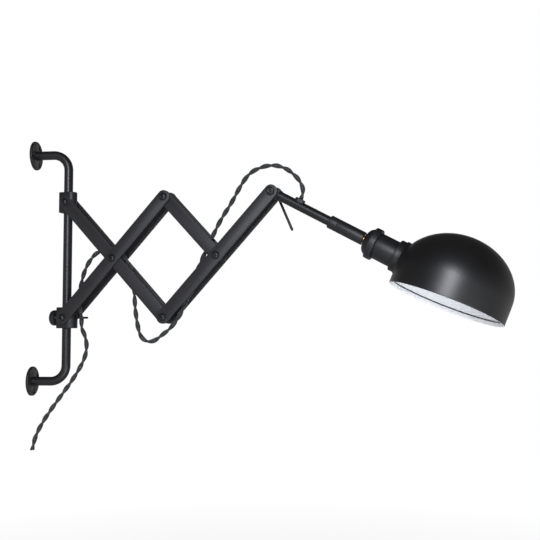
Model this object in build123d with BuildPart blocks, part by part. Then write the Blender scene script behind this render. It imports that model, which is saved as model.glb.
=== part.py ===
from build123d import *
from math import cos, pi, radians, sin, sqrt, tan
import os

os.makedirs("parts", exist_ok=True)

# Accordion wall lamp: a bent tube bracket on two wall flanges, a scissor linkage of flat bar
# pairs that folds out from it, and a lamp arm with a side-mounted dome shade at its far end.
# Millimetres. The origin is the centre of the lower flange's back face, on the wall.
# +X points out of the wall and +Z up.

# ---- driving dimensions -------------------------------------------------------------------
# wall bracket
stand_off = 56.5            # wall to the axis of the upright tube
flange_spacing = 360        # between the centres of the two flanges
flange_radius = 23
flange_thickness = 4
flange_rounding = 1.5       # front edge of a flange
wall_screw_circle = 16      # radius of the ring of wall screw holes
wall_screw_radius = 2.3
countersink_radius = 4.2
tube_radius = 7
tube_wall = 2.5
bend_radius = 25            # of the tube's centre line
joint_chamfer = 0.4         # edge of each tube half at the joint line
stud_length = 40

# scissor linkage: four links, each a pair of bars, three of them full length
half_bar = 125              # from an end pivot of a bar to its middle pivot
bar_width = 20
bar_thickness = 2.5
inner_gap = 19              # clear width between the bars of an inner pair
thin_washer = 0.5           # between neighbouring bars, and between a bar and a block
head_washer = 1.0           # under each screw head
fold_angle = 47.1           # of the bars to the level, as photographed
swing_angle = 9.25          # of the linkage to the wall's normal, as photographed
upper_pivot_height = 282.8
pivot_radius = 3.0
pivot_clearance = 0.05
thread_radius = 2.4
head_radius = 5.8
head_height = 3.6
head_side = 0.25            # share of a head's height that is straight
head_bend = (0.84, 0.72)    # shares of the head's radius and height where its crown turns
head_top = 0.56             # share of the head's radius that is flat
socket_radius = 2.1         # across the corners of the hexagon key socket
socket_depth = 2.0
washer_radius = 6.3
thin_washer_radius = 8.0
spacer_radius = 6.0
screw_grip = 6.5            # thread inside a spacer

# blocks on the tube
block_height = 33
block_back = 11.5           # tube axis to the flat side that faces the wall
block_nose = 5.5            # tube axis to the centre of the rounded side
block_edge = 0.8
slide_clearance = 0.05
groove_depth = 1.0          # turned groove that keeps the upper block at its height
groove_clearance = 0.35
cut_margin = 1.0            # by which a turning cut runs past the surface
screw_tip_gap = 0.35

# thumbscrew and eyelet on the lower block
knob_radius = 12.25
knob_thickness = 9.5
knob_rounding = 4.2
knob_standoff = 5.5         # clear space between the block and the knob
stud_radius = 4.0
stud_tip_gap = 0.35
eyelet_radius = 7.8         # of the wire's centre line
eyelet_wire = 1.6
eyelet_gap = 0.3            # from the block to the ring
eyelet_screw_length = 6.5

# lamp arm
arm_angle = 28.6            # below the level, as photographed
lug_radius = 8.0
lug_length = 10.5           # pivot to the end of the lug
lug_spigot = 6.0
arm_tube_radius = 7.0
arm_tube_wall = 1.5
ring_start = 97.0
ring_radius = 9.75
ring_length = 13.0
ring_seat = 8.0             # depth of the tube in the ring
spigot_bore = 3.2
spigot_length = 26.0
clip_groove = 0.6
clip_radius = 7.4
clip_thickness = 1.2
clip_mouth = 2.4            # gap between the ends of the clip
clip_place = 17.0           # split line to the clip
grommet_place = 42.5        # pivot to the cord's entry
grommet_length = 16.0
grommet_width = 11.0
grommet_height = 3.2
grommet_rounding = 1.6
cord_radius = 3.75
cord_clearance = 0.15

# tilt clamp: bolt and lever at the arm's pivot
lever_hub_radius = 6.0
lever_hub_length = 10.0
lever_length = 60.0         # from the pivot's axis to the tip
lever_radius = 2.0
lever_rounding = 1.8        # of the rod's tip
lever_angle = 23.3          # from straight down, towards the lamp

# head: swivel sleeve, lamp holder and shade
sleeve_length = 43.0
sleeve_chamber = 8.0
bushing_length = 12.0
nipple_radius = 5.0
nipple_bore = 3.5
nipple_seat = 10.0
holder_gap = 2.3            # nipple seen between the sleeve and the holder's cap
cap_face_radius = 11.0
cap_dome = 8.9
cap_bend = (0.35, 0.72)     # shares of the dome's length and rise where it turns
cap_wall = 1.6
collar_radius = 23.4
cap_collar = 10.1
barrel_radius = 19.3
barrel_wall = 1.7
barrel_seat = 8.3           # thread of the barrel inside the cap
barrel_show = 29.4          # between the two collars
shade_collar = 8.6
inner_collar = 4.0
barrel_proud = 2.0          # past the inner collar
collar_chamfer = 0.8
insert_lip = 3.0            # barrel's mouth to the insert's mouth
insert_floor = 16.0
shell_wall = 0.8
shell_recess = 3.0
lamp_thread_radius = 13.6
contact_radius = 4.0
contact_height = 2.5
terminal_radius = 1.5
terminal_head_radius = 2.6
terminal_head = 2.2
terminal_offset = 9.0
head_turn = 6.5             # of the shade round the arm, as photographed
shade_radius = 83.2
shade_skirt = 28.9
shade_dome = 70.1
shade_wall = 1.0
shade_lean = 6.9
shade_clearance = 2.6       # shade seat to the shade's widest line, along the arm
shade_drop = 29.4           # arm axis down to the plane of the rim
hem_height = 6.0            # sheet folded inward round the rim
hem_width = 2.4
seat_radius = 25.0          # pressed flat seat of the shade collar
shade_hole_clearance = 0.3

# ---- places worked out from the driving dimensions ------------------------------------------
level = Vector(cos(radians(swing_angle)), -sin(radians(swing_angle)), 0)
across = Vector(sin(radians(swing_angle)), cos(radians(swing_angle)), 0)
up = Vector(0, 0, 1)
tube_axis = Vector(stand_off, 0, 0)

# The linkage plane: x runs out along the linkage, y up, and its normal faces the viewer.
linkage = Plane(origin=tube_axis, x_dir=level, z_dir=across * -1)

reach = 2 * half_bar * cos(radians(fold_angle))
rise = 2 * half_bar * sin(radians(fold_angle))
top = upper_pivot_height
upper_pivot = (0, top)
lower_pivot = (0, top - rise)
first_crossing = (reach / 2, top - rise / 2)
top_pivot = (reach, top)
bottom_pivot = (reach, top - rise)
second_crossing = (1.5 * reach, top - rise / 2)
arm_pivot = (2 * reach, top)

# layers, measured from the linkage's middle plane
inner_face = inner_gap / 2
inner_outside = inner_face + bar_thickness
outer_face = inner_outside + thin_washer
outer_outside = outer_face + bar_thickness
upper_block_half = inner_face - thin_washer
lower_block_half = outer_face - thin_washer
pivot_hole = pivot_radius + pivot_clearance


def linkage_point(place, offset=0):
    """A point of the linkage plane in the part's frame, offset towards the viewer."""
    return tube_axis + level * place[0] + up * place[1] - across * offset


def save(part, name):
    """Names a finished sub-part and writes its STEP file."""
    part.label = name
    export_step(part, "parts/" + name + ".step")


# ---- wall bracket ---------------------------------------------------------------------------
# Each flange is a turned disc with three countersunk holes; the tube ends on its front face.
flange_turns = {"upper_flange": (flange_spacing, 60), "lower_flange": (0, 30)}
for name, (height, first_hole) in flange_turns.items():
    with BuildPart() as flange:
        with BuildSketch(Plane(origin=(0, 0, height), x_dir=(0, 1, 0), z_dir=(1, 0, 0))):
            Circle(flange_radius)
        extrude(amount=flange_thickness)
        fillet(flange.edges().group_by(Axis.X)[-1], flange_rounding)
        front = Plane(origin=(flange_thickness, 0, height), x_dir=(0, 1, 0), z_dir=(1, 0, 0))
        with Locations(front):
            with PolarLocations(wall_screw_circle, 3, start_angle=first_hole):
                CounterSinkHole(wall_screw_radius, countersink_radius)
    save(flange.part, name)

# The tube is one bent run from flange to flange, made as two halves that meet at mid height.
joint_height = flange_spacing / 2
tube_ends = {"bracket_tube_upper": flange_spacing, "bracket_tube_lower": 0}
for name, height in tube_ends.items():
    with BuildPart() as bracket_tube:
        with BuildLine(Plane(origin=(0, 0, 0), x_dir=(1, 0, 0), z_dir=(0, -1, 0))) as run:
            FilletPolyline(
                (flange_thickness, height),
                (stand_off, height),
                (stand_off, joint_height),
                radius=bend_radius,
            )
        with BuildSketch(Plane(origin=(flange_thickness, 0, height), z_dir=(1, 0, 0))):
            Circle(tube_radius)
            Circle(tube_radius - tube_wall, mode=Mode.SUBTRACT)
        sweep(path=run.wire())
        joint_rim = bracket_tube.faces().filter_by(Axis.Z).edges().sort_by(SortBy.LENGTH)[-1]
        chamfer(joint_rim, joint_chamfer)
        if height > joint_height:
            groove_half = thread_radius + groove_clearance
            with BuildSketch(Plane(origin=(stand_off, 0, top - groove_half))):
                Circle(tube_radius + cut_margin)
                Circle(tube_radius - groove_depth, mode=Mode.SUBTRACT)
            extrude(amount=2 * groove_half, mode=Mode.SUBTRACT)
    save(bracket_tube.part, name)

with BuildPart() as tube_joint_stud:
    with BuildSketch(Plane(origin=(stand_off, 0, joint_height - stud_length / 2))):
        Circle(tube_radius - tube_wall)
    extrude(amount=stud_length)
    chamfer(tube_joint_stud.edges().filter_by(GeomType.CIRCLE), joint_chamfer)
save(tube_joint_stud.part, "tube_joint_stud")


# ---- blocks on the tube ---------------------------------------------------------------------
def block_outline(half_depth):
    """Plan of a block: flat towards the wall, rounded towards the lamp."""
    with BuildLine() as outline:
        Polyline(
            (block_nose, half_depth),
            (-block_back, half_depth),
            (-block_back, -half_depth),
            (block_nose, -half_depth),
        )
        ThreePointArc(
            (block_nose, -half_depth),
            (block_nose + half_depth, 0),
            (block_nose, half_depth),
        )
    return outline.wire()


def block_plane(height):
    """A level plane across the tube, its x along the linkage."""
    return Plane(origin=tube_axis + up * height, x_dir=level, z_dir=(0, 0, 1))


thumbscrew_plane = Plane(
    origin=linkage_point((-block_back, lower_pivot[1])), x_dir=across, z_dir=level * -1
)
eyelet_centre = block_nose + lower_block_half + eyelet_gap + eyelet_wire + eyelet_radius
eyelet_screw_start = block_nose + lower_block_half - eyelet_screw_length

with BuildPart() as upper_block:
    with BuildSketch(block_plane(upper_pivot[1] - block_height / 2)):
        make_face(block_outline(upper_block_half))
    extrude(amount=block_height)
    chamfer(upper_block.faces().sort_by(Axis.Z)[-1].edges(), block_edge)
    chamfer(upper_block.faces().sort_by(Axis.Z)[0].edges(), block_edge)
    with BuildSketch(block_plane(upper_pivot[1] - block_height / 2)):
        Circle(tube_radius + slide_clearance)
    extrude(amount=block_height, mode=Mode.SUBTRACT)
    with BuildSketch(linkage.offset(-upper_block_half)):
        with Locations(upper_pivot):
            Circle(thread_radius)
    extrude(amount=2 * upper_block_half, mode=Mode.SUBTRACT)
save(upper_block.part, "upper_block")

with BuildPart() as lower_block:
    with BuildSketch(block_plane(lower_pivot[1] - block_height / 2)):
        make_face(block_outline(lower_block_half))
    extrude(amount=block_height)
    chamfer(lower_block.faces().sort_by(Axis.Z)[-1].edges(), block_edge)
    chamfer(lower_block.faces().sort_by(Axis.Z)[0].edges(), block_edge)
    with BuildSketch(block_plane(lower_pivot[1] - block_height / 2)):
        Circle(tube_radius + slide_clearance)
    extrude(amount=block_height, mode=Mode.SUBTRACT)
    with BuildSketch(linkage.offset(-lower_block_half)):
        with Locations(lower_pivot):
            Circle(thread_radius)
    extrude(amount=2 * lower_block_half, mode=Mode.SUBTRACT)
    with BuildSketch(thumbscrew_plane):
        Circle(stud_radius + slide_clearance)
    extrude(amount=-block_back, mode=Mode.SUBTRACT)
    with BuildSketch(thumbscrew_plane.offset(-block_back - eyelet_screw_start)):
        Circle(eyelet_wire)
    extrude(amount=-2 * lower_block_half, mode=Mode.SUBTRACT)
save(lower_block.part, "lower_block")

# The eyelet is a level wire ring on a screw stem that stands out of the block's rounded side.
with BuildPart() as cord_eyelet:
    ring_section = Plane(
        origin=linkage_point((eyelet_centre, lower_pivot[1])), x_dir=level, z_dir=across * -1
    )
    with BuildSketch(ring_section):
        with Locations((eyelet_radius, 0)):
            Circle(eyelet_wire)
    revolve(axis=Axis(ring_section.origin, (0, 0, 1)))
    with BuildSketch(thumbscrew_plane.offset(-block_back - eyelet_screw_start)):
        Circle(eyelet_wire)
    extrude(amount=eyelet_screw_start - eyelet_centre + eyelet_radius)
save(cord_eyelet.part, "cord_eyelet")

# The thumbscrew's knob is a turned disc, rounded on its wall side.
with BuildPart() as thumbscrew_knob:
    with BuildSketch(thumbscrew_plane.offset(knob_standoff)):
        Circle(knob_radius)
    extrude(amount=knob_thickness)
    knob_ends = thumbscrew_knob.edges().filter_by(GeomType.CIRCLE).sort_by(Axis.X)
    fillet(knob_ends[0], knob_rounding)
    with BuildSketch(thumbscrew_plane.offset(knob_standoff)):
        Circle(stud_radius)
    extrude(amount=knob_thickness / 2, mode=Mode.SUBTRACT)
save(thumbscrew_knob.part, "thumbscrew_knob")

with BuildPart() as thumbscrew_stud:
    stud_tip = tube_radius + stud_tip_gap - block_back
    with BuildSketch(thumbscrew_plane.offset(stud_tip)):
        Circle(stud_radius)
    extrude(amount=knob_standoff + knob_thickness / 2 - stud_tip)
save(thumbscrew_stud.part, "thumbscrew_stud")

# ---- bars -----------------------------------------------------------------------------------
# Links 1 and 3 fall away from the wall and are the inner pairs; 2 and 4 rise and lie outside.
bar_pairs = {
    "link_1": (upper_pivot, bottom_pivot, first_crossing, inner_face),
    "link_2": (lower_pivot, top_pivot, first_crossing, outer_face),
    "link_3": (top_pivot, second_crossing, second_crossing, inner_face),
    "link_4": (bottom_pivot, arm_pivot, second_crossing, outer_face),
}
for link, (start, end, middle, face) in bar_pairs.items():
    for side, depth in {"front": face, "back": -face - bar_thickness}.items():
        with BuildPart() as bar:
            with BuildSketch(linkage.offset(depth)):
                span = sqrt((end[0] - start[0]) ** 2 + (end[1] - start[1]) ** 2)
                slope = fold_angle if end[1] > start[1] else -fold_angle
                with Locations(Location(((start[0] + end[0]) / 2, (start[1] + end[1]) / 2), slope)):
                    SlotCenterToCenter(span, bar_width)
                with Locations(start, end):
                    Circle(pivot_hole, mode=Mode.SUBTRACT)
                if middle != end:
                    with Locations(middle):
                        Circle(pivot_hole, mode=Mode.SUBTRACT)
            extrude(amount=bar_thickness)
        save(bar.part, link + "_" + side + "_bar")


# ---- pivot screws, washers and spacers ------------------------------------------------------
def pivot_section(place):
    """The plane of a pivot's half section: x is the radius, y runs towards the viewer."""
    return Plane(origin=linkage_point(place), x_dir=level, z_dir=up)


def pivot_axis(place):
    """The pin line of a pivot, towards the viewer."""
    return Axis(linkage_point(place), across * -1)


def screw_section(side, seat, shoulder, tip):
    """Half section of a button-head shoulder screw, on the side +1 (front) or -1 (back)."""
    crown = seat + head_height
    with BuildLine() as section:
        Polyline(
            (0, side * tip),
            (thread_radius, side * tip),
            (thread_radius, side * shoulder),
            (pivot_radius, side * shoulder),
            (pivot_radius, side * seat),
            (head_radius, side * seat),
            (head_radius, side * (seat + head_height * head_side)),
        )
        ThreePointArc(
            (head_radius, side * (seat + head_height * head_side)),
            (head_radius * head_bend[0], side * (seat + head_height * head_bend[1])),
            (head_radius * head_top, side * crown),
        )
        Polyline((head_radius * head_top, side * crown), (0, side * crown), (0, side * tip))
    return section.wire()


def key_socket(place, side, seat):
    """The plane of a screw's hexagon socket floor."""
    floor = seat + head_height - socket_depth
    return Plane(
        origin=linkage_point(place, side * floor), x_dir=level, z_dir=across * -side
    )


screw_sets = {
    "upper_pivot_screws": (
        [upper_pivot],
        inner_outside + head_washer,
        upper_block_half,
        tube_radius - groove_depth + screw_tip_gap,
    ),
    "lower_pivot_screws": (
        [lower_pivot],
        outer_outside + head_washer,
        lower_block_half,
        tube_radius + slide_clearance + screw_tip_gap,
    ),
    "link_1_screws": (
        [first_crossing, bottom_pivot],
        outer_outside + head_washer,
        inner_face,
        inner_face - screw_grip,
    ),
    "link_2_screws": (
        [top_pivot],
        outer_outside + head_washer,
        inner_face,
        inner_face - screw_grip,
    ),
    "link_4_screws": (
        [second_crossing],
        outer_outside + head_washer,
        inner_face,
        inner_face - screw_grip,
    ),
}
for name, (places, seat, shoulder, tip) in screw_sets.items():
    with BuildPart() as screws:
        for place in places:
            for side in (1, -1):
                with BuildSketch(pivot_section(place)):
                    make_face(screw_section(-side, seat, shoulder, tip))
                revolve(axis=pivot_axis(place))
                with BuildSketch(key_socket(place, side, seat)):
                    RegularPolygon(socket_radius, 6)
                extrude(amount=socket_depth, mode=Mode.SUBTRACT)
    save(screws.part, name)

washer_sets = {
    "upper_pivot_washers": ([upper_pivot], upper_block_half, inner_outside),
    "lower_pivot_washers": ([lower_pivot], lower_block_half, outer_outside),
    "link_1_washers": ([first_crossing, bottom_pivot], inner_outside, outer_outside),
    "link_2_washers": ([top_pivot], inner_outside, outer_outside),
    "link_4_washers": ([second_crossing], inner_outside, outer_outside),
}
for name, (places, thin_start, head_start) in washer_sets.items():
    with BuildPart() as washers:
        for depth in (thin_start, -thin_start - thin_washer):
            with BuildSketch(linkage.offset(depth)):
                with Locations(places):
                    Circle(thin_washer_radius)
                    Circle(pivot_hole, mode=Mode.SUBTRACT)
            extrude(amount=thin_washer)
        for depth in (head_start, -head_start - head_washer):
            with BuildSketch(linkage.offset(depth)):
                with Locations(places):
                    Circle(washer_radius)
                    Circle(pivot_hole, mode=Mode.SUBTRACT)
            extrude(amount=head_washer)
    save(washers.part, name)

spacer_sets = {
    "link_1_spacers": [first_crossing, bottom_pivot],
    "link_2_spacer": [top_pivot],
    "link_4_spacer": [second_crossing],
}
for name, places in spacer_sets.items():
    with BuildPart() as spacers:
        with BuildSketch(linkage.offset(-inner_face)):
            with Locations(places):
                Circle(spacer_radius)
                Circle(thread_radius, mode=Mode.SUBTRACT)
        extrude(amount=inner_gap)
    save(spacers.part, name)

# ---- tilt clamp at the arm's pivot ----------------------------------------------------------
# One bolt runs from the front head through the bars and the lug into the lever's hub.
lever_seat = outer_outside + head_washer
lever_end = lever_seat + lever_hub_length

with BuildPart() as tilt_bolt:
    with BuildSketch(linkage.offset(-lever_end + head_washer)):
        with Locations(arm_pivot):
            Circle(pivot_radius)
    extrude(amount=lever_end - head_washer + lever_seat)
    with BuildSketch(linkage.offset(lever_seat)):
        with Locations(arm_pivot):
            Circle(head_radius)
    extrude(amount=head_height)
    fillet(tilt_bolt.edges().sort_by(Axis(linkage.origin, linkage.z_dir))[-1], head_height / 2)
    with BuildSketch(key_socket(arm_pivot, 1, lever_seat)):
        RegularPolygon(socket_radius, 6)
    extrude(amount=socket_depth, mode=Mode.SUBTRACT)
save(tilt_bolt.part, "tilt_bolt")

# Two thick spacers beside the lug and a washer under the head and under the hub.
with BuildPart() as tilt_washers:
    for depth, thickness, radius in (
        (lug_radius, outer_face - lug_radius, lug_radius),
        (-outer_face, outer_face - lug_radius, lug_radius),
        (outer_outside, head_washer, washer_radius),
        (-lever_seat, head_washer, washer_radius),
    ):
        with BuildSketch(linkage.offset(depth)):
            with Locations(arm_pivot):
                Circle(radius)
                Circle(pivot_hole, mode=Mode.SUBTRACT)
        extrude(amount=thickness)
save(tilt_washers.part, "tilt_washers")

with BuildPart() as lever_hub:
    with BuildSketch(linkage.offset(-lever_end)):
        with Locations(arm_pivot):
            Circle(lever_hub_radius)
    extrude(amount=lever_hub_length)
    fillet(lever_hub.edges().sort_by(Axis(linkage.origin, linkage.z_dir))[0], head_washer)
    with BuildSketch(linkage.offset(-lever_end + head_washer)):
        with Locations(arm_pivot):
            Circle(pivot_hole)
    extrude(amount=lever_hub_length, mode=Mode.SUBTRACT)
    lever_dir = level * sin(radians(lever_angle)) - up * cos(radians(lever_angle))
    lever_middle = linkage_point(arm_pivot, -lever_seat - lever_hub_length / 2)
    lever_start = (pivot_hole + lever_hub_radius) / 2
    with BuildSketch(Plane(origin=lever_middle + lever_dir * lever_start, z_dir=lever_dir)):
        Circle(lever_radius)
    extrude(amount=lever_hub_radius, mode=Mode.SUBTRACT)
save(lever_hub.part, "lever_hub")

with BuildPart() as lever_rod:
    with BuildSketch(Plane(origin=lever_middle + lever_dir * lever_start, z_dir=lever_dir)):
        Circle(lever_radius)
    extrude(amount=lever_length - lever_start)
    fillet(lever_rod.edges().sort_by(Axis.Z)[0], lever_rounding)
save(lever_rod.part, "lever_rod")

# ---- lamp arm -------------------------------------------------------------------------------
# Planes square to the arm are offset from the pivot along it, with x towards the arm's top.
arm_dir = level * cos(radians(arm_angle)) - up * sin(radians(arm_angle))
arm_up = level * sin(radians(arm_angle)) + up * cos(radians(arm_angle))
arm = Plane(origin=linkage_point(arm_pivot), x_dir=arm_up, z_dir=arm_dir)
arm_side = Plane(origin=arm.origin, x_dir=arm_dir, z_dir=across * -1)
arm_bore = arm_tube_radius - arm_tube_wall
split = ring_start + ring_length

with BuildPart() as arm_lug:
    with BuildSketch(arm_side.offset(-lug_radius)):
        Circle(lug_radius)
        with Locations((lug_length / 2, 0)):
            Rectangle(lug_length, 2 * lug_radius)
    extrude(amount=2 * lug_radius)
    with BuildSketch(arm.offset(lug_length)):
        Circle(arm_bore)
    extrude(amount=lug_spigot)
    with BuildSketch(arm_side.offset(-lug_radius)):
        Circle(pivot_hole)
    extrude(amount=2 * lug_radius, mode=Mode.SUBTRACT)
save(arm_lug.part, "arm_lug")

entry = Plane(origin=arm.origin + arm_dir * grommet_place, x_dir=arm_dir, z_dir=arm_up)
cord_hole = cord_radius + cord_clearance

with BuildPart() as arm_tube:
    with BuildSketch(arm.offset(lug_length)):
        Circle(arm_tube_radius)
        Circle(arm_bore, mode=Mode.SUBTRACT)
    extrude(amount=ring_start + ring_seat - lug_length)
    with BuildSketch(entry):
        Circle(cord_hole + cord_clearance)
    extrude(amount=2 * arm_tube_radius, mode=Mode.SUBTRACT)
save(arm_tube.part, "arm_tube")

# The grommet is an oval pad with a saddle-shaped foot that straddles the tube.
with BuildPart() as cord_grommet:
    with BuildSketch(entry):
        SlotOverall(grommet_length, grommet_width)
    extrude(amount=arm_tube_radius + grommet_height)
    fillet(cord_grommet.faces().sort_by(Axis(entry.origin, entry.z_dir))[-1].edges(), grommet_rounding)
    with BuildSketch(arm):
        Circle(arm_tube_radius)
    extrude(amount=2 * grommet_place, mode=Mode.SUBTRACT)
    with BuildSketch(entry):
        Circle(cord_hole)
    extrude(amount=2 * arm_tube_radius, mode=Mode.SUBTRACT)
save(cord_grommet.part, "cord_grommet")

with BuildPart() as swivel_ring:
    with BuildSketch(arm.offset(ring_start)):
        Circle(ring_radius)
    extrude(amount=ring_length)
    chamfer(swivel_ring.edges().sort_by(Axis(arm.origin, arm.z_dir))[0], joint_chamfer)
    chamfer(swivel_ring.edges().sort_by(Axis(arm.origin, arm.z_dir))[-1], joint_chamfer)
    with BuildSketch(arm.offset(ring_start)):
        Circle(arm_tube_radius)
    extrude(amount=ring_seat, mode=Mode.SUBTRACT)
    with BuildSketch(arm.offset(ring_start)):
        Circle(arm_bore)
    extrude(amount=ring_length, mode=Mode.SUBTRACT)
save(swivel_ring.part, "swivel_ring")

with BuildPart() as swivel_spigot:
    with BuildSketch(arm.offset(ring_start + ring_seat)):
        Circle(arm_bore)
    extrude(amount=spigot_length)
    with BuildSketch(arm.offset(split + clip_place)):
        Circle(arm_bore + cut_margin)
        Circle(arm_bore - clip_groove, mode=Mode.SUBTRACT)
    extrude(amount=clip_thickness, mode=Mode.SUBTRACT)
    with BuildSketch(arm.offset(ring_start + ring_seat)):
        Circle(spigot_bore)
    extrude(amount=spigot_length, mode=Mode.SUBTRACT)
save(swivel_spigot.part, "swivel_spigot")

with BuildPart() as swivel_clip:
    with BuildSketch(arm.offset(split + clip_place)):
        Circle(clip_radius)
        Circle(arm_bore - clip_groove, mode=Mode.SUBTRACT)
        with Locations((-clip_radius, 0)):
            Rectangle(clip_radius, clip_mouth, mode=Mode.SUBTRACT)
    extrude(amount=clip_thickness)
save(swivel_clip.part, "swivel_clip")

# ---- head: swivel sleeve and lamp holder ----------------------------------------------------
sleeve_end = split + sleeve_length
cap_start = sleeve_end + holder_gap
collar_start = cap_start + cap_dome
barrel_seen = collar_start + cap_collar
shade_collar_start = barrel_seen + barrel_show
shade_seat = shade_collar_start + shade_collar
barrel_mouth = shade_seat + shade_wall + inner_collar + barrel_proud
shade_offset = shade_seat + shade_clearance + shade_radius

with BuildPart() as swivel_sleeve:
    with BuildSketch(arm.offset(split)):
        Circle(ring_radius)
        Circle(arm_bore + pivot_clearance, mode=Mode.SUBTRACT)
    extrude(amount=sleeve_length)
    chamfer(swivel_sleeve.edges().group_by(Axis(arm.origin, arm.z_dir))[0], joint_chamfer)
    with BuildSketch(arm.offset(split + clip_place - pivot_clearance)):
        Circle(sleeve_chamber)
    extrude(amount=sleeve_length, mode=Mode.SUBTRACT)
save(swivel_sleeve.part, "swivel_sleeve")

with BuildPart() as swivel_bushing:
    with BuildSketch(arm.offset(sleeve_end - bushing_length)):
        Circle(sleeve_chamber)
        Circle(nipple_radius, mode=Mode.SUBTRACT)
    extrude(amount=bushing_length)
save(swivel_bushing.part, "swivel_bushing")

with BuildPart() as lamp_nipple:
    with BuildSketch(arm.offset(sleeve_end - nipple_seat)):
        Circle(nipple_radius)
        Circle(nipple_bore, mode=Mode.SUBTRACT)
    extrude(amount=nipple_seat + holder_gap + cap_dome / 2)
save(lamp_nipple.part, "lamp_nipple")

# Turned parts are drawn as half sections: x is the distance along the arm, y the radius.
with BuildPart() as holder_cap:
    with BuildSketch(arm_side):
        with BuildLine():
            Line((cap_start, nipple_radius), (cap_start, cap_face_radius))
            ThreePointArc(
                (cap_start, cap_face_radius),
                (
                    cap_start + cap_dome * cap_bend[0],
                    cap_face_radius + (barrel_radius - cap_face_radius) * cap_bend[1],
                ),
                (collar_start, barrel_radius + cap_wall / 2),
            )
            Polyline(
                (collar_start, barrel_radius + cap_wall / 2),
                (collar_start, collar_radius - collar_chamfer),
                (collar_start + collar_chamfer, collar_radius),
                (barrel_seen - collar_chamfer, collar_radius),
                (barrel_seen, collar_radius - collar_chamfer),
                (barrel_seen, barrel_radius),
                (barrel_seen - barrel_seat, barrel_radius),
                (barrel_seen - barrel_seat, barrel_radius - barrel_wall),
                (collar_start, barrel_radius - barrel_wall),
                (cap_start + 2 * cap_wall, cap_face_radius - cap_wall),
                (cap_start + 2 * cap_wall, nipple_radius),
                (cap_start, nipple_radius),
            )
        make_face()
    revolve(axis=Axis(arm.origin, arm.z_dir))
save(holder_cap.part, "holder_cap")

with BuildPart() as holder_barrel:
    with BuildSketch(arm.offset(barrel_seen - barrel_seat)):
        Circle(barrel_radius)
        Circle(barrel_radius - barrel_wall, mode=Mode.SUBTRACT)
    extrude(amount=barrel_mouth - barrel_seen + barrel_seat)
save(holder_barrel.part, "holder_barrel")

for name, start, length in (
    ("shade_ring", shade_collar_start, shade_collar),
    ("shade_inner_ring", shade_seat + shade_wall, inner_collar),
):
    with BuildPart() as collar:
        with BuildSketch(arm.offset(start)):
            Circle(collar_radius)
        extrude(amount=length)
        chamfer(collar.edges().filter_by(GeomType.CIRCLE), collar_chamfer)
        with BuildSketch(arm.offset(start)):
            Circle(barrel_radius)
        extrude(amount=length, mode=Mode.SUBTRACT)
    save(collar.part, name)

# The insert carries the screw shell, the centre contact and two terminal screws.
insert_start = barrel_seen - barrel_seat
insert_end = barrel_mouth - insert_lip
shell_radius = lamp_thread_radius + shell_wall
with BuildPart() as holder_insert:
    with BuildSketch(arm.offset(insert_start)):
        Circle(barrel_radius - barrel_wall)
    extrude(amount=insert_end - insert_start)
    with BuildSketch(arm.offset(insert_start + insert_floor)):
        Circle(shell_radius)
    extrude(amount=insert_end - insert_start, mode=Mode.SUBTRACT)
    with BuildSketch(arm.offset(insert_start)):
        with Locations((0, terminal_offset), (0, -terminal_offset)):
            Circle(terminal_radius)
    extrude(amount=insert_floor / 2, mode=Mode.SUBTRACT)
save(holder_insert.part, "holder_insert")

with BuildPart() as screw_shell:
    with BuildSketch(arm.offset(insert_start + insert_floor)):
        Circle(shell_radius)
        Circle(lamp_thread_radius, mode=Mode.SUBTRACT)
    extrude(amount=insert_end - shell_recess - insert_start - insert_floor)
save(screw_shell.part, "screw_shell")

with BuildPart() as centre_contact:
    with BuildSketch(arm.offset(insert_start + insert_floor)):
        Circle(contact_radius)
    extrude(amount=contact_height)
    chamfer(centre_contact.edges().sort_by(Axis(arm.origin, arm.z_dir))[-1], collar_chamfer)
save(centre_contact.part, "centre_contact")

with BuildPart() as terminal_screws:
    with BuildSketch(arm.offset(insert_start)):
        with Locations((0, terminal_offset), (0, -terminal_offset)):
            Circle(terminal_radius)
    extrude(amount=insert_floor / 2)
    with BuildSketch(arm.offset(insert_start - terminal_head)):
        with Locations((0, terminal_offset), (0, -terminal_offset)):
            Circle(terminal_head_radius)
    extrude(amount=terminal_head)
save(terminal_screws.part, "terminal_screws")

# ---- shade ----------------------------------------------------------------------------------
# A spun dome with a straight skirt and an inward hem, held by its side on a pressed flat seat.
head_up = arm_up * cos(radians(head_turn)) + across * sin(radians(head_turn))
shade_up = head_up * cos(radians(shade_lean)) - arm_dir * sin(radians(shade_lean))
shade_out = arm_dir * cos(radians(shade_lean)) + head_up * sin(radians(shade_lean))
rim_centre = arm.origin + arm_dir * shade_offset - head_up * shade_drop
shade_section = Plane(origin=rim_centre, x_dir=shade_out, z_dir=shade_out.cross(shade_up))
shade_axis = Axis(rim_centre, shade_up)


quarter_pull = 0.5523       # share of each half axis that bends a cubic to a quarter ellipse


def dome_outline(radius, height):
    """Half section of the dome: a straight skirt below a quarter ellipse."""
    crown = shade_skirt + height
    foot = hem_width / 2
    with BuildLine() as outline:
        Polyline((0, crown), (0, foot), (radius, foot), (radius, shade_skirt))
        Bezier(
            (radius, shade_skirt),
            (radius, shade_skirt + quarter_pull * height),
            (quarter_pull * radius, crown),
            (0, crown),
        )
    return outline.wire()


# the hollow inside, with the back of the pressed seat
with BuildPart() as shade_hollow:
    with BuildSketch(shade_section):
        make_face(dome_outline(shade_radius - shade_wall, shade_dome - shade_wall))
    revolve(axis=shade_axis)
    with BuildSketch(arm.offset(shade_seat + shade_wall)):
        Circle(seat_radius + shade_wall)
    extrude(amount=-seat_radius, mode=Mode.SUBTRACT)
    with BuildSketch(arm.offset(shade_seat + shade_wall)):
        Circle(seat_radius - shade_wall)
    extrude(amount=seat_radius)

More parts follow.
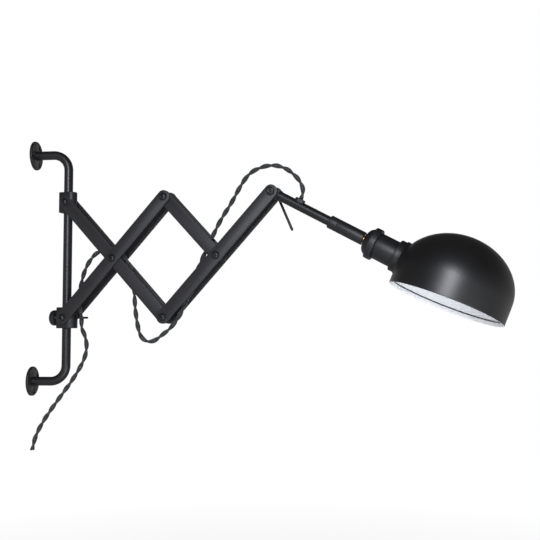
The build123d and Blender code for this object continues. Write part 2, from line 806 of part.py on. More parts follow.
with BuildPart() as shade:
    with BuildSketch(shade_section):
        make_face(dome_outline(shade_radius, shade_dome))
    revolve(axis=shade_axis)
    with BuildSketch(arm.offset(shade_seat)):
        Circle(seat_radius)
    extrude(amount=-seat_radius, mode=Mode.SUBTRACT)
    with BuildSketch(arm.offset(shade_seat)):
        Circle(seat_radius)
    extrude(amount=seat_radius / 2)
    add(shade_hollow.part, mode=Mode.SUBTRACT)
    with BuildSketch(shade_section):
        with Locations((shade_radius - hem_width / 2, hem_height / 2)):
            SlotOverall(hem_height, hem_width, rotation=90)
    revolve(axis=shade_axis)
    with BuildSketch(arm.offset(shade_seat - shade_wall)):
        Circle(barrel_radius + shade_hole_clearance)
    extrude(amount=3 * shade_wall, mode=Mode.SUBTRACT)
save(shade.part, "shade")

# ---- twisted cord ---------------------------------------------------------------------------
# Five stretches of one cord, end to end. Each point is (out along the linkage, height) with,
# where the cord leaves the linkage's middle plane, the distance towards the viewer.
cord_routes = {
    # out of the grommet, up and over the arm's pivot, and down between links 3 and 4
    "cord_lamp_loop": [
        (380.8, 268.0),
        (386.0, 277.4),
        (385.2, 291.0),
        (376.5, 304.5),
        (361.0, 318.0),
        (342.0, 324.5),
        (322.0, 322.5),
        (303.0, 314.0),
        (289.5, 296.0),
        (275.0, 270.0),
        (258.0, 246.0),
        (244.5, 220.0),
        (236.0, 203.0),
        (227.0, 184.0),
    ],
    # through link 4, round below the bottom pivot and up into link 1
    "cord_lower_loop": [
        (227.0, 184.0),
        (219.0, 167.1),
        (213.5, 143.0),
        (201.6, 121.6),
        (191.0, 99.0),
        (176.5, 82.0),
        (161.0, 71.0),
        (149.5, 62.6),
        (136.5, 62.8),
        (127.0, 71.0),
        (122.0, 90.0),
        (118.3, 112.0),
        (117.0, 133.0),
        (116.0, 150.0),
    ],
    # over the first crossing's spacer and down beside the tube into link 2
    "cord_inner_loop": [
        (116.0, 150.0),
        (114.9, 168.7),
        (105.0, 186.5),
        (90.0, 203.5),
        (69.0, 206.5),
        (50.0, 201.5),
        (37.5, 187.0),
        (30.0, 172.0),
        (25.4, 156.0),
        (22.8, 140.0),
    ],
    # through link 2 to the eyelet
    "cord_eyelet_run": [
        (22.8, 140.0),
        (20.85, 128.0),
        (22.2, 114.0),
        (26.6, 103.0),
        (26.2, 93.5),
    ],
    # below the eyelet, in front of the tube and back towards the wall
    "cord_tail": [
        (26.2, 93.5),
        (25.8, 84.0),
        (33.2, 71.5, 0.5),
        (37.3, 55.5, 1.5),
        (35.5, 38.0, 4.0),
        (28.0, 20.0, 8.0),
        (16.5, 0.5, 12.0),
        (1.5, -19.5, 14.0),
        (-14.0, -40.0, 15.5),
        (-28.0, -60.0, 17.0),
        (-38.5, -79.0, 18.5),
        (-43.0, -93.0, 19.5),
        (-45.4, -105.5, 20.0),
    ],
}


def corner_radii(points):
    """The largest even arcs that the runs on both sides of each corner allow."""
    radii = []
    for before, corner, after in zip(points, points[1:], points[2:]):
        half_turn = radians((corner - before).get_angle(after - corner)) / 2
        shorter = min((corner - before).length, (after - corner).length)
        radii.append(0.45 * shorter / tan(half_turn))
    return radii


for name, route in cord_routes.items():
    points = [linkage_point(place, *place[2:]) for place in route]
    radii = corner_radii(points)
    with BuildPart() as cord:
        with BuildLine() as path:
            FilletPolyline(*points, radius=radii)
        with BuildSketch(Plane(origin=points[0], z_dir=points[1] - points[0])):
            Circle(cord_radius)
        sweep(path=path.wire())
    save(cord.part, name)
    drawn = cord.part.volume / (pi * cord_radius**2)
    print(name, "length", round(path.wire().length, 1), "by volume", round(drawn, 1))
    print("  radii", [round(radius, 1) for radius in radii])
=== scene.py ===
from math import cos, pi, radians, sin

import bmesh
import bpy
from mathutils import Matrix, Vector
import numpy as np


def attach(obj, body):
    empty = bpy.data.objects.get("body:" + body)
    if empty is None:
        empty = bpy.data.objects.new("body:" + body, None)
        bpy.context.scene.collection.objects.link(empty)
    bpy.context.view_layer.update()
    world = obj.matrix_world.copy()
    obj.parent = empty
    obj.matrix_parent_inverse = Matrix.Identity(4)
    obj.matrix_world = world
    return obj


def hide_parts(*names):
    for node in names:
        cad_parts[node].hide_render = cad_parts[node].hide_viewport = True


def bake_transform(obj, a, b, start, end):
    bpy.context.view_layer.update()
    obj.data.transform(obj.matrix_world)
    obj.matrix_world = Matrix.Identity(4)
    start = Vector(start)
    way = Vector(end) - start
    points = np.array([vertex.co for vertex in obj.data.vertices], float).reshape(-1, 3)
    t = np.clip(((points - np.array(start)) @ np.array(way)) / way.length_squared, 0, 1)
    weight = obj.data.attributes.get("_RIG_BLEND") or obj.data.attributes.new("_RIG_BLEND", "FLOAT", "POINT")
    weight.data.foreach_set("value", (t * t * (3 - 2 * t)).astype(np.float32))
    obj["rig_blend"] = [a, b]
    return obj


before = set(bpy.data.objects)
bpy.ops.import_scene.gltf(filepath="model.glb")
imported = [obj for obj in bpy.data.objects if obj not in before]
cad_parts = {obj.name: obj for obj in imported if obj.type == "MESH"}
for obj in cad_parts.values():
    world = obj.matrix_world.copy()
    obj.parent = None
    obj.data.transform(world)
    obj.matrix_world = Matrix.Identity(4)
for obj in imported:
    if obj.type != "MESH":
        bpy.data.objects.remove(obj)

scene = bpy.context.scene
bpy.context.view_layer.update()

# ---- camera --------------------------------------------------------------------------------
# The lamp is seen from a little to the left of its arm and slightly from below.
camera_data = bpy.data.cameras.new("camera")
camera_data.lens = 54.86
camera_data.sensor_width = 36
camera = bpy.data.objects.new("camera", camera_data)
camera.matrix_world = Matrix(
    (
        (0.99241, 0.01104, 0.12214, 0.53517),
        (0.12257, -0.06846, -0.99011, -1.25395),
        (-0.0026, 0.9976, -0.0693, 0.0841),
        (0, 0, 0, 1),
    )
)
scene.collection.objects.link(camera)
scene.camera = camera


# ---- twisted cord --------------------------------------------------------------------------
# Two round flexes in dark grey braid, twisted round each other. They leave the arm by the
# grommet, hang between the links, pass the eyelet on the lower block and end bare.
class Wire:
    """A socket of a finish. Sums on it add Math nodes, and node() adds any other node."""

    def __init__(self, tree, socket=None):
        self.tree = tree
        self.socket = socket

    def node(self, kind, settings=None, sockets=None, out=0):
        made = self.tree.nodes.new("ShaderNode" + kind)
        for key, value in (settings or {}).items():
            setattr(made, key, value)
        for key, value in (sockets or {}).items():
            if isinstance(value, Wire):
                self.tree.links.new(value.socket, made.inputs[key])
            else:
                made.inputs[key].default_value = value
        return Wire(self.tree, made.outputs[out])

    def maths(self, operation, *values):
        return self.node("Math", {"operation": operation}, dict(enumerate(values)))

    def __add__(self, other):
        return self.maths("ADD", self, other)

    def __sub__(self, other):
        return self.maths("SUBTRACT", self, other)

    def __rsub__(self, other):
        return self.maths("SUBTRACT", other, self)

    def __mul__(self, other):
        return self.maths("MULTIPLY", self, other)

    __radd__ = __add__
    __rmul__ = __mul__

    def sine(self):
        return self.maths("SINE", self)

    def between(self, low, high):
        """From 0 at low to 1 at high, held at both ends."""
        return self.node("MapRange", {"clamp": True}, {0: self, 1: low, 2: high, 3: 0.0, 4: 1.0})

    def noise(self, place, scale, detail=2.0, roughness=0.5):
        """A cloudy value about 0.5, with features of 1 / scale metres."""
        sockets = {"Vector": place, "Scale": scale, "Detail": detail, "Roughness": roughness}
        return self.node("TexNoise", {}, sockets)

    def mix(self, dark, light):
        """The colour between two others, by this value."""
        return self.node("Mix", {"data_type": "RGBA"}, {0: self, 6: dark, 7: light}, out=2)

    def bump(self, height_mm, strength=1.0):
        """A normal from this value, which is a height in shares of height_mm."""
        sockets = {"Strength": strength, "Distance": height_mm * 0.001, "Height": self}
        return self.node("Bump", {}, sockets)


def finish(name, recipe, **fixed):
    """A material. recipe(wire) gives the varying sockets, and fixed the even ones."""
    material = bpy.data.materials.new(name)
    material.use_nodes = True
    tree = material.node_tree
    shader = tree.nodes["Principled BSDF"]
    for key, value in fixed.items():
        shader.inputs[key.replace("_", " ")].default_value = value
    for key, wire in recipe(Wire(tree)).items():
        tree.links.new(wire.socket, shader.inputs[key])
    material.diffuse_color = (0.03, 0.03, 0.03, 1)
    return material


yarns_each_way = 8
yarns_per_metre = 420


def braid(wire):
    """Sixteen dark grey yarns braided round a flex, a few of them a little lighter."""
    around = wire.node("SeparateXYZ", {}, {0: wire.node("UVMap")})
    along = wire.node("SeparateXYZ", {}, {0: wire.node("UVMap")}, out=1)
    one_way = (around * yarns_each_way + along * yarns_per_metre) * (2 * pi)
    other_way = (around * yarns_each_way - along * yarns_per_metre) * (2 * pi)
    weave = one_way.sine() * other_way.sine() * 0.5 + 0.5
    place = wire.node("TexCoord", out=3)
    fluff = wire.noise(place, 2600, 3.0, 0.7)
    shade = (weave * 0.7 + fluff * 0.5).between(0.2, 1.0)
    return {
        "Base Color": shade.mix((0.004, 0.004, 0.0046, 1), (0.026, 0.026, 0.030, 1)),
        "Roughness": 0.95 - weave * 0.18,
        "Normal": (weave * 0.7 + fluff * 0.3).bump(0.28, 0.8),
    }


cord_fabric = finish("cord_fabric", braid, Sheen_Weight=0.25, Sheen_Roughness=0.5)

swing_angle = radians(9.25)  # of the linkage from square to the wall, as photographed
level = Vector((cos(swing_angle), -sin(swing_angle), 0))
across = Vector((sin(swing_angle), cos(swing_angle), 0))
up = Vector((0, 0, 1))
stand_off = 56.5  # wall to the tube's axis


def linkage_point(place, toward=0):
    """A point of the linkage's plane, from millimetres out and up, in metres."""
    point = Vector((stand_off, 0, 0)) + level * place[0] + up * place[1] - across * toward
    return point * 0.001


# Points out and up in the linkage's plane, then how far toward the viewer, in millimetres.
cord_routes = {
    "cord_lamp_loop": [
        (380.8, 268.0), (386.0, 277.4), (385.2, 291.0), (376.5, 304.5), (361.0, 318.0),
        (342.0, 324.5), (322.0, 322.5), (303.0, 314.0), (289.5, 296.0), (275.0, 270.0),
        (258.0, 246.0), (244.5, 220.0), (236.0, 203.0), (227.0, 184.0),
    ],
    "cord_lower_loop": [
        (227.0, 184.0), (219.0, 167.1), (213.5, 143.0), (201.6, 121.6), (191.0, 99.0),
        (176.5, 82.0), (161.0, 71.0), (149.5, 62.6), (136.5, 62.8), (127.0, 71.0),
        (122.0, 90.0), (118.3, 112.0), (117.0, 133.0), (116.0, 150.0),
    ],
    "cord_inner_loop": [
        (116.0, 150.0), (114.9, 168.7), (105.0, 186.5), (90.0, 203.5), (69.0, 206.5),
        (50.0, 201.5), (37.5, 187.0), (30.0, 172.0), (25.4, 156.0), (22.8, 140.0),
    ],
    "cord_eyelet_run": [
        (22.8, 140.0), (20.85, 128.0), (22.2, 114.0), (26.6, 103.0), (26.2, 93.5),
    ],
    "cord_tail": [
        (26.2, 93.5), (25.8, 84.0), (33.2, 71.5, 0.5), (37.3, 55.5, 1.5), (35.5, 38.0, 4.0),
        (28.0, 20.0, 8.0), (16.5, 0.5, 12.0), (1.5, -19.5, 14.0), (-14.0, -40.0, 15.5),
        (-28.0, -60.0, 17.0), (-38.5, -79.0, 18.5), (-43.0, -93.0, 19.5), (-45.4, -105.5, 20.0),
    ],
}
# The bodies at the two ends, the length in metres, and what is on the far end.
cord_ends = {
    "cord_lamp_loop": ("lamp_arm", "link_4", 0.2712, "object"),
    "cord_lower_loop": ("link_4", "link_1", 0.2524, "object"),
    "cord_inner_loop": ("link_1", "link_2", 0.1694, "object"),
    "cord_eyelet_run": ("link_2", "lower_block", 0.0473, "object"),
    "cord_tail": ("lower_block", None, 0.225, "bare"),
}
flex_radius = 0.00183
twist_pitch = 0.038
twist_step = 0.0012


def centre_line(route):
    """Even points down the middle of a route's smooth spline, in metres."""
    curve = bpy.data.curves.new("route", "CURVE")
    curve.dimensions = "3D"
    spline = curve.splines.new("NURBS")
    spline.points.add(len(route) - 1)
    for point, place in zip(spline.points, route):
        point.co = (*linkage_point(place, *place[2:]), 1)
    spline.order_u = 3
    spline.use_endpoint_u = True
    spline.resolution_u = 24
    holder = bpy.data.objects.new("route", curve)
    mesh = bpy.data.meshes.new_from_object(holder)
    drawn = [vertex.co.copy() for vertex in mesh.vertices]
    bpy.data.meshes.remove(mesh)
    bpy.data.curves.remove(curve)
    lengths = [(b - a).length for a, b in zip(drawn, drawn[1:])]
    count = round(sum(lengths) / twist_step)
    step = sum(lengths) / count
    even, reached, i = [drawn[0]], 0.0, 0
    for n in range(1, count):
        while reached + lengths[i] < n * step:
            reached += lengths[i]
            i += 1
        even.append(drawn[i].lerp(drawn[i + 1], (n * step - reached) / lengths[i]))
    return even + [drawn[-1]]


def flex(points, name):
    """One round flex along the points, with U round it and V in metres along it."""
    curve = bpy.data.curves.new(name, "CURVE")
    curve.dimensions = "3D"
    curve.bevel_depth = flex_radius
    curve.bevel_resolution = 4
    curve.use_fill_caps = True
    spline = curve.splines.new("POLY")
    spline.points.add(len(points) - 1)
    for point, place in zip(spline.points, points):
        point.co = (*place, 1)
    holder = bpy.data.objects.new(name, curve)
    mesh = bpy.data.meshes.new_from_object(holder)
    bpy.data.curves.remove(curve)
    for corner in mesh.uv_layers[0].data:
        corner.uv.y *= len(points) * twist_step
    return mesh


side = None
turned = 0.0
for name, route in cord_routes.items():
    line = centre_line(route)
    strands = ([], [])
    for i, point in enumerate(line):
        ahead = (line[min(i + 1, len(line) - 1)] - line[max(i - 1, 0)]).normalized()
        side = (side or across.cross(ahead)).copy()
        side = (side - ahead * side.dot(ahead)).normalized()
        offset = Matrix.Rotation(turned, 3, ahead) @ side * flex_radius
        strands[0].append(point + offset)
        strands[1].append(point - offset)
        if i < len(line) - 1:
            turned += 2 * pi * (line[i + 1] - point).length / twist_pitch
    bm = bmesh.new()
    for strand in strands:
        mesh = flex(strand, name)
        bm.from_mesh(mesh)
        bpy.data.meshes.remove(mesh)
    bmesh.ops.remove_doubles(bm, verts=bm.verts, dist=1e-6)
    bmesh.ops.recalc_face_normals(bm, faces=bm.faces)
    mesh = bpy.data.meshes.new(name + "_twist")
    bm.to_mesh(mesh)
    bm.free()
    mesh.shade_smooth()
    mesh.materials.append(cord_fabric)
    twist = bpy.data.objects.new(name + "_twist", mesh)
    scene.collection.objects.link(twist)
    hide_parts(name)
    near, far, length, far_end = cord_ends[name]
    if far:
        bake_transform(twist, near, far, start=line[0], end=line[-1])
    else:
        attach(twist, near)


# ---- wall flanges --------------------------------------------------------------------------
# Two turned steel discs with three countersunk holes each, in satin black powder coat. Wood
# screws hold them to the wall, and each end of the tube is welded to one.
def powder_coat(wire, dark, light, rough):
    """Satin powder coat: fine grain, a faint cloudiness, and edges lightened in patches, partly as rubbed
    wear and partly as a painted highlight.
    """
    place = wire.node("TexCoord", out=3)
    cloud = wire.noise(place, 22, 4.0, 0.6)
    grain = wire.noise(place, 1500, 2.0, 0.6)
    peel = wire.noise(place, 420, 2.0)
    # The edge faces are lightened in patches: partly rubbed wear, partly a painted highlight along the
    # edges.
    edge_patches = wire.noise(place, 190, 4.0, 0.65).between(0.42, 0.62)
    edge = wire.node("Attribute", {"attribute_name": "edge"}, out=2)
    wear_and_highlight = edge * edge_patches * 0.4
    tone = (cloud * 0.8 + grain * 0.2).between(0.32, 0.68)
    return {
        "Base Color": wear_and_highlight.mix(tone.mix(dark, light), (0.04, 0.04, 0.041, 1)),
        "Roughness": (cloud - 0.5) * 0.06 + (grain - 0.5) * 0.04 - wear_and_highlight * 0.1 + rough,
        "Normal": (grain * 0.3 + peel * 0.7).bump(0.006, 0.5),
    }


def coated(name, dark, light, rough, **fixed):
    """A powder coat or a matt plastic between two colours."""
    return finish(name, lambda wire: powder_coat(wire, dark, light, rough), **fixed)


steel_dark = (0.006, 0.0056, 0.0068, 1)
steel_light = (0.0095, 0.009, 0.0108, 1)
black_paint = coated("black_paint", steel_dark, steel_light, 0.46)


def new_bmesh():
    """An empty bmesh that can mark its edge faces."""
    bm = bmesh.new()
    bm.faces.layers.float.new("edge")
    return bm


def node_copy(node):
    """The joined-up shape of a CAD node, in millimetres."""
    bm = new_bmesh()
    bm.from_mesh(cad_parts[node].data)
    bm.transform(Matrix.Scale(1000, 4))
    bmesh.ops.remove_doubles(bm, verts=bm.verts, dist=0.002)
    bmesh.ops.dissolve_limit(bm, angle_limit=radians(0.6), verts=bm.verts, edges=bm.edges)
    return bm


def soften(bm, width, segments=2, angle=32):
    """Rounds every sharp edge, and marks the new faces, which the coat lightens for wear and for a painted
    edge highlight.
    """
    sharp = [
        edge
        for edge in bm.edges
        if len(edge.link_faces) == 2 and edge.calc_face_angle(0) > radians(angle)
    ]
    made = bmesh.ops.bevel(
        bm,
        geom=sharp,
        offset=width,
        offset_type="OFFSET",
        segments=segments,
        profile=0.5,
        affect="EDGES",
        material=-1,
        clamp_overlap=True,
    )
    edge_mark = bm.faces.layers.float["edge"]
    for face in made["faces"]:
        face[edge_mark] = 1
    return bm


def place_piece(name, bm, body, material, nodes, frame_of=None):
    """Makes a bmesh in millimetres a piece in metres that rides on a body."""
    if frame_of:
        bm.transform(frame_of)
    bm.transform(Matrix.Scale(0.001, 4))
    mesh = bpy.data.meshes.new(name)
    bm.to_mesh(mesh)
    bm.free()
    mesh.shade_smooth()
    mesh.set_sharp_from_angle(angle=radians(25))
    for each in material if isinstance(material, tuple) else (material,):
        mesh.materials.append(each)
    made = bpy.data.objects.new(name, mesh)
    scene.collection.objects.link(made)
    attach(made, body)
    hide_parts(*nodes)
    return made


for node in ("upper_flange", "lower_flange"):
    bm = soften(node_copy(node), 0.25)
    place_piece(node + "_disc", bm, "bracket", black_paint, [node])

# ---- bracket tube --------------------------------------------------------------------------
# Steel tube, 14 mm across, bent square at both ends. It is two halves that screw together at
# mid height, where a fine line shows. The coat is a little glossier than on the bars.
tube_paint = coated("tube_paint", steel_dark, steel_light, 0.36)
tube_radius = 7
bend_radius = 25
flange_thickness = 4
joint_height = 180
joint_chamfer = 0.4
flange_spacing = 360
straight_runs = 4


def run_on(bm, edges, step):
    """Draws a ring of edges along by one step, and gives the new ring."""
    made = bmesh.ops.extrude_edge_only(bm, edges=edges)["geom"]
    moved = [v for v in made if isinstance(v, bmesh.types.BMVert)]
    bmesh.ops.translate(bm, verts=moved, vec=step)
    return [e for e in made if isinstance(e, bmesh.types.BMEdge)]


for node, height in (("bracket_tube_upper", flange_spacing), ("bracket_tube_lower", 0)):
    way = 1 if height < joint_height else -1
    bm = new_bmesh()
    ring = bmesh.ops.create_circle(bm, segments=48, radius=tube_radius)["verts"]
    bmesh.ops.rotate(bm, verts=ring, matrix=Matrix.Rotation(pi / 2, 3, "Y"))
    bmesh.ops.translate(bm, verts=ring, vec=(flange_thickness, 0, height))
    bend_start = stand_off - bend_radius
    edges = run_on(bm, bm.edges[:], (bend_start - flange_thickness, 0, 0))
    turn = bmesh.ops.spin(
        bm,
        geom=edges,
        cent=(bend_start, 0, height + way * bend_radius),
        axis=(0, 1, 0),
        angle=-way * pi / 2,
        steps=20,
    )["geom_last"]
    edges = [e for e in turn if isinstance(e, bmesh.types.BMEdge)]
    straight = abs(joint_height - height) - bend_radius - joint_chamfer
    for _ in range(straight_runs):
        edges = run_on(bm, edges, (0, 0, way * straight / straight_runs))
    edges = run_on(bm, edges, (0, 0, way * joint_chamfer))
    last = list({v for e in edges for v in e.verts})
    shrink = (tube_radius - joint_chamfer) / tube_radius
    bmesh.ops.scale(
        bm, verts=last, vec=(shrink, shrink, 1), space=Matrix.Translation((-stand_off, 0, 0))
    )
    bmesh.ops.remove_doubles(bm, verts=bm.verts, dist=0.001)
    bmesh.ops.holes_fill(bm, edges=bm.edges)
    bmesh.ops.recalc_face_normals(bm, faces=bm.faces)
    place_piece(node.replace("tube", "pipe"), bm, "bracket", tube_paint, [node])


# ---- blocks on the tube --------------------------------------------------------------------
# Two milled blocks with a rounded side, bored for the tube. The upper one turns in a groove
# of the tube, and the lower one slides.
for node in ("upper_block", "lower_block"):
    bm = soften(node_copy(node), 0.3)
    place_piece(node + "_body", bm, node, black_paint, [node])


# ---- thumbscrew and eyelet -----------------------------------------------------------------
# A turned knob, rounded on its wall side, on a plated stud that clamps the lower block. The
# eyelet is a ring of wire on a stem, screwed into the block's rounded side.
plated_steel = finish(
    "plated_steel",
    lambda wire: {
        "Base Color": wire.noise(wire.node("TexCoord", out=3), 240, 3.0)
        .between(0.3, 0.7)
        .mix((0.40, 0.40, 0.41, 1), (0.56, 0.56, 0.57, 1)),
        "Roughness": wire.noise(wire.node("TexCoord", out=3), 900, 2.0) * 0.25 + 0.2,
        "Normal": wire.noise(wire.node("TexCoord", out=3), 1800).bump(0.03, 0.5),
    },
    Metallic=1.0,
)


def axes_matrix(origin, x_axis, z_axis):
    """The placing of a piece drawn on its own axes, in millimetres."""
    y_axis = z_axis.cross(x_axis)
    turn = Matrix((x_axis, y_axis, z_axis)).transposed().to_4x4()
    return Matrix.Translation(origin) @ turn


def turned_piece(profile, steps=72, closed=False):
    """Turns a profile of (radius, height) points round the Z axis."""
    bm = new_bmesh()
    points = [bm.verts.new((radius, 0, height)) for radius, height in profile]
    for a, b in zip(points, points[1:] + points[:1] if closed else points[1:]):
        bm.edges.new((a, b))
    bmesh.ops.spin(
        bm,
        geom=bm.verts[:] + bm.edges[:],
        cent=(0, 0, 0),
        axis=(0, 0, 1),
        angle=2 * pi,
        steps=steps,
        use_merge=True,
    )
    bmesh.ops.remove_doubles(bm, verts=bm.verts, dist=0.001)
    bmesh.ops.dissolve_degenerate(bm, dist=0.0005, edges=bm.edges)
    bmesh.ops.recalc_face_normals(bm, faces=bm.faces)
    return bm


lower_height = 99.66
block_back = 11.5
knob_radius = 12.25
knob_face = 5.5
knob_thickness = 9.5
stud_radius = 4
stud_tip = -4.1
thumb = axes_matrix(linkage_point((-block_back, lower_height)) * 1000, across, -level)
knob_profile = [
    (0, knob_face),
    (knob_radius - 1.6, knob_face),
    (knob_radius, knob_face + 0.8),
    (knob_radius, knob_face + 5.3),
    (knob_radius - 0.32, knob_face + 6.91),
    (knob_radius - 1.23, knob_face + 8.27),
    (knob_radius - 2.59, knob_face + 9.18),
    (knob_radius - 4.2, knob_face + knob_thickness),
    (0, knob_face + knob_thickness),
]
bm = soften(turned_piece(knob_profile), 0.25)
place_piece(
    "thumbscrew_disc", bm, "thumbscrew", black_paint, ["thumbscrew_knob"], thumb
)
stud_profile = [
    (0, stud_tip),
    (stud_radius, stud_tip),
    (stud_radius, knob_face + 1),
    (0, knob_face + 1),
]
bm = soften(turned_piece(stud_profile), 0.3)
place_piece(
    "thumbscrew_shank", bm, "thumbscrew", plated_steel, ["thumbscrew_stud"], thumb
)
place_piece(
    "eyelet_ring", node_copy("cord_eyelet"), "lower_block", black_paint, ["cord_eyelet"],
)


# ---- linkage bars --------------------------------------------------------------------------
# Flat steel strip, 20 mm by 2.5 mm with round ends, in pairs that cross each other. Each is
# punched, deburred and powder coated, so its edges are slightly soft.
bar_paint = coated("bar_paint", (0.010, 0.0092, 0.0112, 1), (0.0145, 0.0134, 0.0160, 1), 0.50)
bar_radius = 10
bar_thickness = 2.5
half_bar = 125
fold_angle = 47.1
upper_height = 282.8
half_reach = half_bar * cos(radians(fold_angle))
half_rise = half_bar * sin(radians(fold_angle))
upper_pivot = (0, upper_height)
lower_pivot = (0, upper_height - 2 * half_rise)
top_pivot = (2 * half_reach, upper_height)
bottom_pivot = (2 * half_reach, upper_height - 2 * half_rise)
second_crossing = (3 * half_reach, upper_height - half_rise)
arm_pivot = (4 * half_reach, upper_height)
inner_face = 9.5
outer_face = 12.5
bar_pairs = {
    "link_1": (upper_pivot, bottom_pivot, inner_face),
    "link_2": (lower_pivot, top_pivot, outer_face),
    "link_3": (top_pivot, second_crossing, inner_face),
    "link_4": (bottom_pivot, arm_pivot, outer_face),
}
for link, (start, end, face) in bar_pairs.items():
    run = level * (end[0] - start[0]) + up * (end[1] - start[1])
    for side_name, depth in (("front", face), ("back", -face - bar_thickness)):
        bm = new_bmesh()
        bmesh.ops.create_circle(bm, segments=64, radius=bar_radius, cap_ends=True)
        far = [vertex for vertex in bm.verts if vertex.co.x > 0.001]
        bmesh.ops.translate(bm, verts=far, vec=(run.length, 0, 0))
        cap = bmesh.ops.extrude_face_region(bm, geom=bm.faces[:])["geom"]
        lifted = [item for item in cap if isinstance(item, bmesh.types.BMVert)]
        bmesh.ops.translate(bm, verts=lifted, vec=(0, 0, bar_thickness))
        bmesh.ops.recalc_face_normals(bm, faces=bm.faces)
        soften(bm, 0.35)
        place = axes_matrix(linkage_point(start, depth) * 1000, run.normalized(), -across)
        node = f"{link}_{side_name}_bar"
        place_piece(node + "_strip", bm, link, bar_paint, [node], place)


# ---- pivot screws, washers and spacers -----------------------------------------------------
# Button-head shoulder screws with a hexagon socket, on blackened washers, with a thin nylon
# washer between neighbouring bars and a turned spacer between the bars of a pair.
screw_paint = coated("screw_paint", (0.005, 0.005, 0.006, 1), (0.008, 0.008, 0.009, 1), 0.30)
nylon = coated("nylon", (0.012, 0.012, 0.012, 1), (0.020, 0.020, 0.020, 1), 0.55)
for body, node in (
    ("upper_block", "upper_pivot_screws"),
    ("lower_block", "lower_pivot_screws"),
    ("link_1", "link_1_screws"),
    ("link_2", "link_2_screws"),
    ("link_4", "link_4_screws"),
    ("link_4", "tilt_bolt"),
):
    bm = soften(node_copy(node), 0.12)
    place_piece(node + "_heads", bm, body, screw_paint, [node])
for body, node in (
    ("upper_block", "upper_pivot_washers"),
    ("lower_block", "lower_pivot_washers"),
    ("link_1", "link_1_washers"),
    ("link_2", "link_2_washers"),
    ("link_4", "link_4_washers"),
    ("link_4", "tilt_washers"),
):
    bm = soften(node_copy(node), 0.1)
    place_piece(node + "_rings", bm, body, nylon, [node])
for body, node in (
    ("link_1", "link_1_spacers"),
    ("link_2", "link_2_spacer"),
    ("link_4", "link_4_spacer"),
):
    place_piece(node + "_posts", node_copy(node), body, black_paint, [node])


# ---- lamp arm ------------------------------------------------------------------------------
# A lug on the last pivot, a straight tube, and the fixed half of the swivel at its end. The
# cord goes in through a rubber grommet on top.
arm_angle = 28.6
arm_dir = level * cos(radians(arm_angle)) - up * sin(radians(arm_angle))
arm_up = level * sin(radians(arm_angle)) + up * cos(radians(arm_angle))
arm_start = linkage_point(arm_pivot) * 1000
arm_frame = axes_matrix(arm_start, arm_up, arm_dir)
lug_length = 10.5
ring_start = 97.0
ring_radius = 9.75
split = 110.0
sleeve_end = 153.0
arm_bore = 5.5
arm_tube_radius = 7
ring_edge = 0.4
turning_gap = 0.05  # each side of the split, so that the swivel's faces don't touch

place_piece(
    "arm_lug_block", soften(node_copy("arm_lug"), 0.4), "lamp_arm", black_paint, ["arm_lug"],
)
arm_profile = [
    (arm_bore, lug_length),
    (arm_tube_radius, lug_length),
    (arm_tube_radius, ring_start + 8),
    (arm_bore, ring_start + 8),
]
place_piece(
    "arm_pipe", turned_piece(arm_profile, closed=True), "lamp_arm", tube_paint, ["arm_tube"],
    arm_frame,
)
rubber = coated("rubber", (0.010, 0.010, 0.010, 1), (0.016, 0.016, 0.016, 1), 0.42)
place_piece(
    "grommet_pad", node_copy("cord_grommet"), "lamp_arm", rubber, ["cord_grommet"],
)
ring_profile = [
    (arm_bore, ring_start),
    (ring_radius - ring_edge, ring_start),
    (ring_radius, ring_start + ring_edge),
    (ring_radius, split - 0.45),
    (ring_radius - ring_edge, split - turning_gap),
    (arm_bore, split - turning_gap),
]
place_piece(
    "swivel_collar", soften(turned_piece(ring_profile, closed=True), 0.12), "lamp_arm",
    black_paint, ["swivel_ring"], arm_frame,
)

# ---- tilt clamp lever ----------------------------------------------------------------------
# A turned hub behind the arm's pivot with a plain rod screwed into it; a quarter turn locks
# the arm's tilt.
for node in ("lever_hub", "lever_rod"):
    bm = soften(node_copy(node), 0.15)
    place_piece(node + "_steel", bm, "clamp_lever", black_paint, [node])

# ---- swivel sleeve and lamp holder ---------------------------------------------------------
# The sleeve turns on the arm's spigot. A brass nipple joins it to the holder's domed cap; the
# barrel screws into the cap and carries the two collars that clamp the shade.
sleeve_bore = 8
sleeve_profile = [
    (sleeve_bore, split + turning_gap),
    (ring_radius - ring_edge, split + turning_gap),
    (ring_radius, split + 0.45),
    (ring_radius, sleeve_end - ring_edge),
    (ring_radius - ring_edge, sleeve_end),
    (sleeve_bore, sleeve_end),
]
place_piece(
    "sleeve_shell", soften(turned_piece(sleeve_profile, closed=True), 0.12), "head", black_paint,
    ["swivel_sleeve"], arm_frame,
)
cap_start = 155.3
collar_start = 164.2
barrel_seen = 174.3
shade_ring_start = 203.7
shade_seat = 212.3
barrel_mouth = 219.3
collar_radius = 23.4
collar_edge = 0.8
barrel_radius = 19.3
barrel_bore = 17.6
barrel_start = barrel_seen - 8.3
cap_profile = [
    (5, cap_start),
    (10.2, cap_start),
    (12.6, cap_start + 0.5),
    (15.0, cap_start + 1.6),
    (17.0, cap_start + 3.2),
    (18.6, cap_start + 5.4),
    (19.6, cap_start + 7.4),
    (20.1, collar_start),
    (collar_radius - collar_edge, collar_start),
    (collar_radius, collar_start + collar_edge),
    (collar_radius, barrel_seen - collar_edge),
    (collar_radius - collar_edge, barrel_seen),
    (barrel_radius, barrel_seen),
    (barrel_radius, barrel_start),
    (barrel_bore, barrel_start),
    (barrel_bore, collar_start),
    (9.4, cap_start + 3.2),
    (5, cap_start + 3.2),
]
place_piece(
    "cap_shell", soften(turned_piece(cap_profile, 96, closed=True), 0.18), "head", black_paint,
    ["holder_cap"], arm_frame,
)
barrel_profile = [
    (barrel_bore, barrel_start),
    (barrel_radius, barrel_start),
    (barrel_radius, barrel_mouth),
    (barrel_bore, barrel_mouth),
]
place_piece(
    "barrel_shell", soften(turned_piece(barrel_profile, 96, closed=True), 0.25), "head",
    black_paint, ["holder_barrel"], arm_frame,
)
